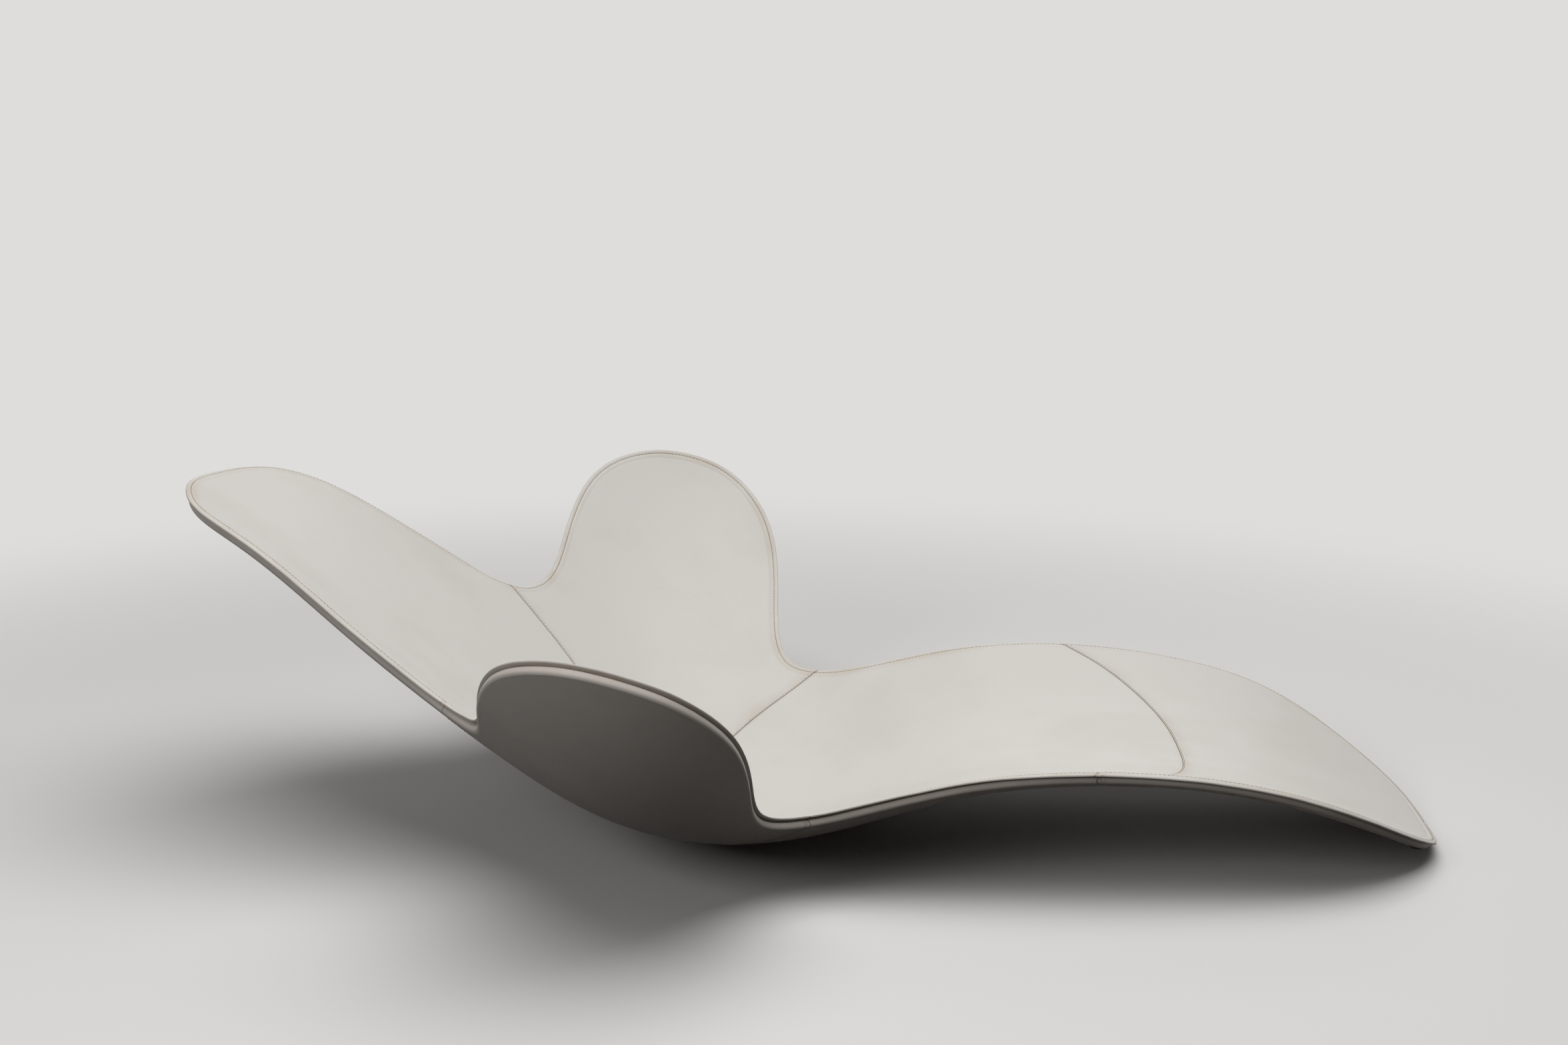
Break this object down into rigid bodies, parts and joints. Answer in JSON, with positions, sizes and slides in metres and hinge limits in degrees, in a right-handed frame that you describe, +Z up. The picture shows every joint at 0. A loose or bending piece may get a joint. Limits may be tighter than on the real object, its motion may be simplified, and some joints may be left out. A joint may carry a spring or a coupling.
{
  "type": "shell relaxation lounger",
  "caption": "Low sculpted shell lounger for a spa, covered in pale leather on both faces, with round wings beside a hollow seat, a knee hump and a stitched flange round the edge.",
  "frame": {"origin": "on the floor under the middle of the overall length, on the middle plane", "axes": "+X from the head end to the foot end, +Y across to the sitter's left, +Z up"},
  "size_m": [1.8013, 1.4356, 0.484],
  "materials": {
    "leather": "off-white finished cowhide, fine grain, satin",
    "thread": "twisted polyester, tan",
    "foam": "thin polyurethane foam",
    "moulded_laminate": "glass-fibre laminate, as moulded",
    "glide_rubber": "black moulded rubber",
    "insert_brass": "turned brass",
    "screw_steel": "zinc-plated steel"
  },
  "bodies": {
    "root": {"structural_shell": "moulded_laminate", "belly_plate": "moulded_laminate", "inner_padding_head": "foam", "outer_padding_head": "foam", "inner_leather_head": "leather", "outer_leather_head": "leather", "inner_padding_centre": "foam", "outer_padding_centre": "foam", "inner_leather_centre": "leather", "outer_leather_centre": "leather", "inner_padding_leg": "foam", "outer_padding_leg": "foam", "inner_leather_leg": "leather", "outer_leather_leg": "leather", "inner_padding_foot": "foam", "outer_padding_foot": "foam", "inner_leather_foot": "leather", "outer_leather_foot": "leather", "edge_thread": "thread", "inner_seam_thread_head": "thread", "outer_seam_thread_head": "thread", "inner_seam_thread_seat": "thread", "outer_seam_thread_seat": "thread", "inner_seam_thread_foot": "thread", "outer_seam_thread_foot": "thread", "belly_glides": "glide_rubber", "foot_glides": "glide_rubber", "belly_inserts": "insert_brass", "foot_inserts": "insert_brass", "belly_glide_screws": "screw_steel", "foot_glide_screws": "screw_steel"}
  },
  "joints": []
}
